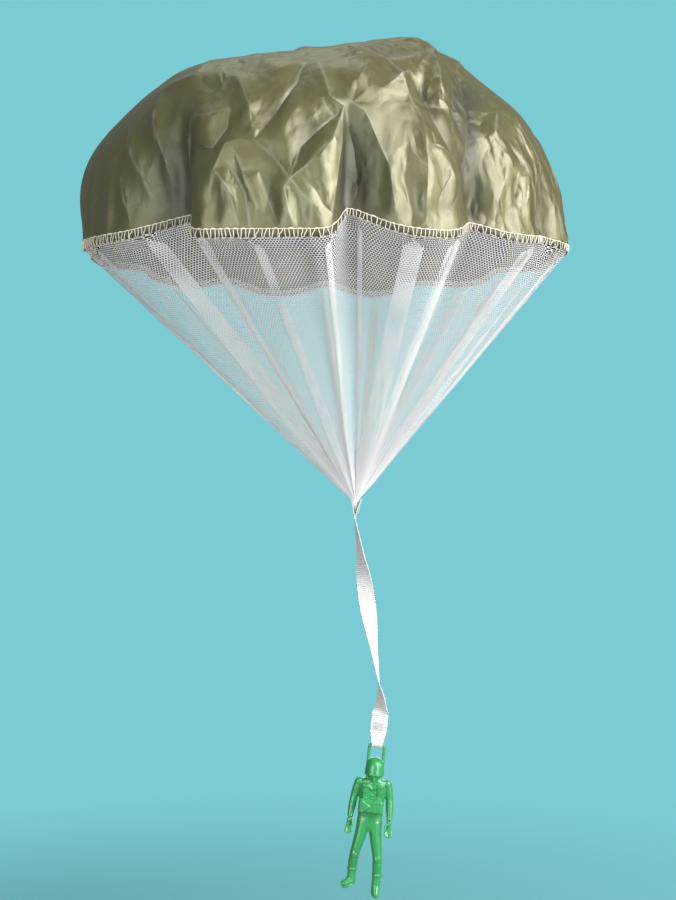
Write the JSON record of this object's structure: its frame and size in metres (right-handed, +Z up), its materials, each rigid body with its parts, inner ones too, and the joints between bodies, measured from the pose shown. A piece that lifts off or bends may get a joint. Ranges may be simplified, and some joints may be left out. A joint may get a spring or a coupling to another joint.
{
  "type": "toy parachute",
  "caption": "Inflated cloth toy parachute with an overlocked hem, a net skirt gathered to a neck, a twisted woven tape and a moulded figure hung by its head loop.",
  "frame": {"origin": "the middle of the canopy's outer face, by which the toy hangs", "axes": "+Z up, away from the figure; -Y is the side that the figure faces; +X is to the right seen from that side"},
  "size_m": [0.2972, 0.2904, 0.5207],
  "materials": {
    "canopy_cloth": "crumpled olive drab taffeta with a strong pale sheen",
    "net": "fine white hexagonal tulle net",
    "tape": "white ribbed grosgrain tape",
    "thread": "off-white overlock thread",
    "figure_plastic": "glossy green moulded polythene"
  },
  "bodies": {
    "parachute": {"canopy_cloth": "canopy_cloth", "needle_thread": "thread", "upper_looper_thread": "thread", "lower_looper_thread": "thread", "net_skirt": "net"},
    "neck": {"tape_neck_fold": "tape", "neck_tack_thread": "thread"},
    "tape_top": {"tape_upper": "tape"},
    "tape_bottom": {"tape_lower": "tape"},
    "loop": {"tape_loop": "tape", "loop_tack_thread": "thread"},
    "figure": {"figure": "figure_plastic"}
  },
  "joints": [
    {"name": "neck_lift", "type": "slide", "parent": "parachute", "child": "neck", "axis": [0, 0, 1], "range_m": [0, 0.05], "deforming": ["net_skirt"]},
    {"name": "tape_side_swing", "type": "hinge", "parent": "neck", "child": "tape_top", "pos_m": [0.0184, 0, -0.2848], "axis": [0, 1, 0], "range_deg": [-60, 60]},
    {"name": "tape_bend", "type": "hinge", "parent": "tape_top", "child": "tape_bottom", "pos_m": [0.02671, 0, -0.34106], "axis": [0.9547, -0.2619, 0.141], "range_deg": [-75, 75]},
    {"name": "tape_twist", "type": "hinge", "parent": "tape_bottom", "child": "loop", "pos_m": [0.03398, 0, -0.40462], "axis": [0.1011, 0, 0.9949], "range_deg": [-180, 180]},
    {"name": "figure_swing", "type": "hinge", "parent": "loop", "child": "figure", "pos_m": [0.03206, 0, -0.42352], "axis": [0.9925, -0.0698, -0.1008], "range_deg": [-90, 90]}
  ]
}
